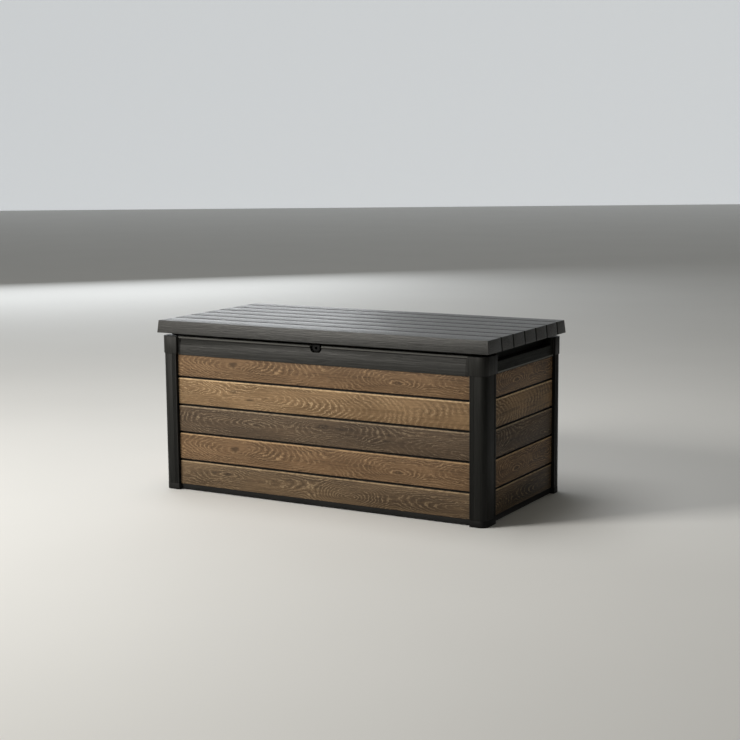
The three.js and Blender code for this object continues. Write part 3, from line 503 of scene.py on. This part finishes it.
# The side rails get a darker, less glossy copy of the trim resin: painted shade for the end walls.
SHADED_SIDE_TRIM_RESIN = embossed_resin(
    "shaded_side_trim_resin_emboss", (0.0035, 0.0042, 0.003), (0.010, 0.0115, 0.008), "y", 0.6, 0.0006,
    specular=0.12, highlight_line=ledge_edge,
)
CAP_RESIN = embossed_resin(
    "cap_resin_emboss", (0.007, 0.007, 0.0064), (0.024, 0.0238, 0.022), "z", 0.55, 0.0004,
    grain=0.8, specular=0.2,
)
POST_RESIN = embossed_resin(
    "post_resin_emboss", (0.0035, 0.0037, 0.0032), (0.012, 0.0122, 0.0106), "z", 0.55, 0.0002,
    grain=1.4, specular=0.2,
)
BASE_RESIN = moulded_resin(
    "base_resin_spark", (0.0035, 0.0035, 0.0033), (0.0095, 0.0095, 0.009), 0.62, specular=0.2,
)
LINER_RESIN = moulded_resin("liner_resin_spark", (0.022, 0.022, 0.022), (0.027, 0.027, 0.0265), 0.6)
LOCK_RESIN = moulded_resin(
    "lock_resin_spark", (0.002, 0.002, 0.002), (0.006, 0.006, 0.006), 0.5, specular=0.12,
)
ZINC = metal("zinc_plate", (0.42, 0.43, 0.44), (0.62, 0.63, 0.64), 0.3, 1.0)
BLACK_COAT = metal("black_powder_coat", (0.012, 0.012, 0.0125), (0.026, 0.026, 0.027), 0.42, 0.0, brush=0.3)


# ------------------------------------------------------------------ mesh helpers


def clean_copy(node):
    """The CAD node's solid as a tidy bmesh: welded, with its flat faces made whole."""
    source = NODES[node]
    shape = bmesh.new()
    shape.from_mesh(source.data)
    shape.transform(source.matrix_world)
    bmesh.ops.remove_doubles(shape, verts=shape.verts, dist=2e-5)
    bmesh.ops.dissolve_limit(shape, angle_limit=math.radians(0.6), verts=shape.verts, edges=shape.edges)
    return shape


def to_object(name, shape, material, body, node=None, finish=None):
    """Turns a bmesh into a piece on a body. It may stand for a CAD node."""
    mesh = bpy.data.meshes.new(name)
    bmesh.ops.recalc_face_normals(shape, faces=shape.faces)
    shape.to_mesh(mesh)
    shape.free()
    mesh.materials.append(material)
    piece = bpy.data.objects.new(name, mesh)
    bpy.context.scene.collection.objects.link(piece)
    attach(piece, body)
    if node is not None:
        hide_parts(node)
        finish = finish or NODES[node].data.materials[0].name
    return piece


def soften(piece, width, segments=2, angle=28.0):
    """Rounds every edge sharper than the angle, as a moulded or pressed part's are."""
    bevel = piece.modifiers.new("rounding", "BEVEL")
    bevel.width = width
    bevel.segments = segments
    bevel.limit_method = "ANGLE"
    bevel.angle_limit = math.radians(angle)
    bevel.use_clamp_overlap = True
    bevel.harden_normals = True
    for face in piece.data.polygons:
        face.use_smooth = True
    return piece


def refine(node, material, body, width, segments=2):
    """A CAD node's solid with whole faces and rounded edges."""
    piece = to_object(f"{node}_moulding", clean_copy(node), material, body, node)
    return soften(piece, width, segments)


# --------------------------------------------------------------------- assembly


def turned(shape, profile, segments=24):
    """Adds a turned form about z to a bmesh. The profile is radius and height, from axis to axis."""
    rings = []
    for radius, height in profile:
        if radius == 0.0:
            rings.append([shape.verts.new((0.0, 0.0, height))])
            continue
        turns = [2 * math.pi * i / segments for i in range(segments)]
        rings.append([shape.verts.new((radius * math.cos(t), radius * math.sin(t), height)) for t in turns])
    for low, high in zip(rings, rings[1:]):
        for i in range(segments):
            j = (i + 1) % segments
            corners = [low[i % len(low)], low[j % len(low)], high[j % len(high)], high[i % len(high)]]
            face = list(dict.fromkeys(corners))
            shape.faces.new(face)


def cross_recess(shape, radius, depth, top):
    """Adds a dark cross-shaped recess floor, set in the domed top of a screw."""
    arm = radius * 0.16
    long = radius * 0.55
    outline = [
        (arm, arm), (arm, long), (-arm, long), (-arm, arm), (-long, arm), (-long, -arm),
        (-arm, -arm), (-arm, -long), (arm, -long), (arm, -arm), (long, -arm), (long, arm),
    ]
    upper = [shape.verts.new((x, y, top)) for x, y in outline]
    lower = [shape.verts.new((x * 0.7, y * 0.7, top - depth)) for x, y in outline]
    for i in range(len(outline)):
        j = (i + 1) % len(outline)
        shape.faces.new((upper[i], upper[j], lower[j], lower[i]))
    shape.faces.new(lower)
    return upper


def screw_heads(name, body, material, finish, radius, places):
    """Pan-head screws with a cross recess, joined as one piece. places holds points and outward normals."""
    joined = bmesh.new()
    height = radius * 0.55
    rim = radius * 0.62
    for point, outward in places:
        one = bmesh.new()
        sunk = -0.0008
        side = [(radius, sunk), (radius, height * 0.35), (radius * 0.92, height * 0.7)]
        turned(one, [(0.0, sunk), *side, (rim, height)])
        one.verts.ensure_lookup_table()
        top_ring = [v for v in one.verts if abs(v.co.z - height) < 1e-9]
        recess = cross_recess(one, radius, height * 0.9, height)
        top_ring.sort(key=lambda v: math.atan2(v.co.y, v.co.x))
        edges = []
        for loop in (top_ring, recess):
            for i in range(len(loop)):
                pair = (loop[i], loop[(i + 1) % len(loop)])
                edges.append(one.edges.get(pair) or one.edges.new(pair))
        bmesh.ops.triangle_fill(one, edges=edges, use_beauty=True)
        turn = Vector((0, 0, 1)).rotation_difference(Vector(outward)).to_matrix().to_4x4()
        one.transform(Matrix.Translation(Vector(point)) @ turn)
        mesh = bpy.data.meshes.new("one_screw")
        one.to_mesh(mesh)
        one.free()
        joined.from_mesh(mesh)
        bpy.data.meshes.remove(mesh)
    piece = to_object(name, joined, material, body, finish=finish)
    for face in piece.data.polygons:
        face.use_smooth = False
    return piece


def make_walls():
    for wall in WALLS:
        for row in range(1, ROWS + 1):
            refine(f"plank_{wall}_{row}", OAK[row][wall], "box", 0.0009)


def make_posts():
    for corner in CORNERS:
        refine(f"post_{corner}", POST_RESIN, "box", 0.0004)
        refine(f"cap_{corner}", CAP_RESIN, "box", 0.0018)
        refine(f"cap_screw_{corner}", BLACK_COAT, "box", 0.0003)


def make_rails():
    refine("front_rail", TRIM_RESIN, "box", 0.001)
    refine("back_rail", TRIM_RESIN, "box", 0.001)
    refine("left_rail", SHADED_SIDE_TRIM_RESIN, "box", 0.001)
    refine("right_rail", SHADED_SIDE_TRIM_RESIN, "box", 0.001)


def make_base():
    refine("base_tray", BASE_RESIN, "box", 0.0015)


PAD_COLUMNS = 5
PAD_ROWS = 2
PAD_GAP = 0.022
PAD_HALF_X = 0.650
PAD_BACK_Y = 0.272
PAD_FRONT_Y = -0.290
PAD_DEPTH = 0.0018


def make_liner_pads():
    """Raised panels stiffen the underside of the lid's liner."""
    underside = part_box("lid_liner")[0].z
    pitch_x = (2 * PAD_HALF_X + PAD_GAP) / PAD_COLUMNS
    pitch_y = (PAD_BACK_Y - PAD_FRONT_Y + PAD_GAP) / PAD_ROWS
    # Each step is how far a ring lies inside the pad's outline, and its depth below the liner.
    steps = ((0.0, -0.0003), (0.0, 0.0002), (0.003, PAD_DEPTH * 0.8), (0.006, PAD_DEPTH))
    shape = bmesh.new()
    for column in range(PAD_COLUMNS):
        for row in range(PAD_ROWS):
            x0 = -PAD_HALF_X + column * pitch_x
            y0 = PAD_FRONT_Y + row * pitch_y
            x1 = x0 + pitch_x - PAD_GAP
            y1 = y0 + pitch_y - PAD_GAP
            rings = []
            for inset, depth in steps:
                z = underside - depth
                left, right = x0 + inset, x1 - inset
                near, far = y0 + inset, y1 - inset
                corners = ((left, near), (right, near), (right, far), (left, far))
                rings.append([shape.verts.new((x, y, z)) for x, y in corners])
            shape.faces.new(rings[0])
            shape.faces.new(rings[-1])
            for low, high in zip(rings, rings[1:]):
                for i in range(4):
                    j = (i + 1) % 4
                    shape.faces.new((low[i], low[j], high[j], high[i]))
    soften(to_object("liner_pads", shape, LINER_RESIN, "lid", finish="liner_resin"), 0.0006)


def make_lid():
    refine("lid_shell", LID_RESIN, "lid", 0.0018, 3)
    refine("lid_liner", LINER_RESIN, "lid", 0.001)
    make_liner_pads()
    for side in ("front", "back"):
        refine(f"lid_stiffener_{side}", ZINC, "lid", 0.0004)


LEAF_THICKNESS = 0.003
LID_LEAF_DROP = 0.0031  # from the liner down to the under face of a lid leaf
SCREW_RADIUS = 0.0042
# A leaf's screws, from the middle of its length and from its low edge.
LEAF_SCREWS = ((-0.025, 0.012), (0.0, 0.024), (0.025, 0.012))


def make_hinges():
    for name in HINGES:
        refine(f"hinge_body_leaf_{name}", BLACK_COAT, "box", 0.0006)
        refine(f"hinge_lid_leaf_{name}", BLACK_COAT, "lid", 0.0006)
        refine(f"hinge_pin_{name}", ZINC, "box", 0.0005)
        low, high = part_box(f"hinge_body_leaf_{name}")
        middle = (low.x + high.x) / 2
        face = low.y + LEAF_THICKNESS
        places = [((middle + dx, face, low.z + dz), (0, 1, 0)) for dx, dz in LEAF_SCREWS]
        screw_heads(f"hinge_screws_body_{name}", "box", BLACK_COAT, "black_steel", SCREW_RADIUS, places)
        low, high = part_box(f"hinge_lid_leaf_{name}")
        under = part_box("lid_liner")[0].z - LID_LEAF_DROP
        places = [((middle + dx, low.y + dy, under), (0, 0, -1)) for dx, dy in LEAF_SCREWS]
        screw_heads(f"hinge_screws_lid_{name}", "lid", BLACK_COAT, "black_steel", SCREW_RADIUS, places)


BRACKET_PLATE = 0.003
BRACKET_SCREW_IN = 0.009  # from a bracket's ends, and off its middle, to its screws


def make_struts():
    for name, side in SIDES:
        refine(f"strut_cylinder_{name}", BLACK_COAT, f"strut_cylinder_{name}", 0.0008)
        refine(f"strut_rod_{name}", ZINC, f"strut_rod_{name}", 0.0006)
        refine(f"strut_bracket_body_{name}", BLACK_COAT, "box", 0.0006)
        refine(f"strut_bracket_lid_{name}", BLACK_COAT, "lid", 0.0006)
        low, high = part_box(f"strut_bracket_body_{name}")
        face = (high.x if side > 0 else low.x) - side * BRACKET_PLATE
        middle = (low.y + high.y) / 2 - BRACKET_SCREW_IN
        heights = (low.z + BRACKET_SCREW_IN, high.z - BRACKET_SCREW_IN)
        places = [((face, middle, z), (-side, 0, 0)) for z in heights]
        screw_heads(f"bracket_screws_{name}", "box", ZINC, "steel", SCREW_RADIUS, places)


def make_lock():
    refine("lock_tongue", LOCK_RESIN, "lid", 0.0008)
    refine("lock_staple", LOCK_RESIN, "box", 0.0008)


make_camera()
make_room()
make_walls()
make_posts()
make_rails()
make_base()
make_lid()
make_hinges()
make_struts()
make_lock()
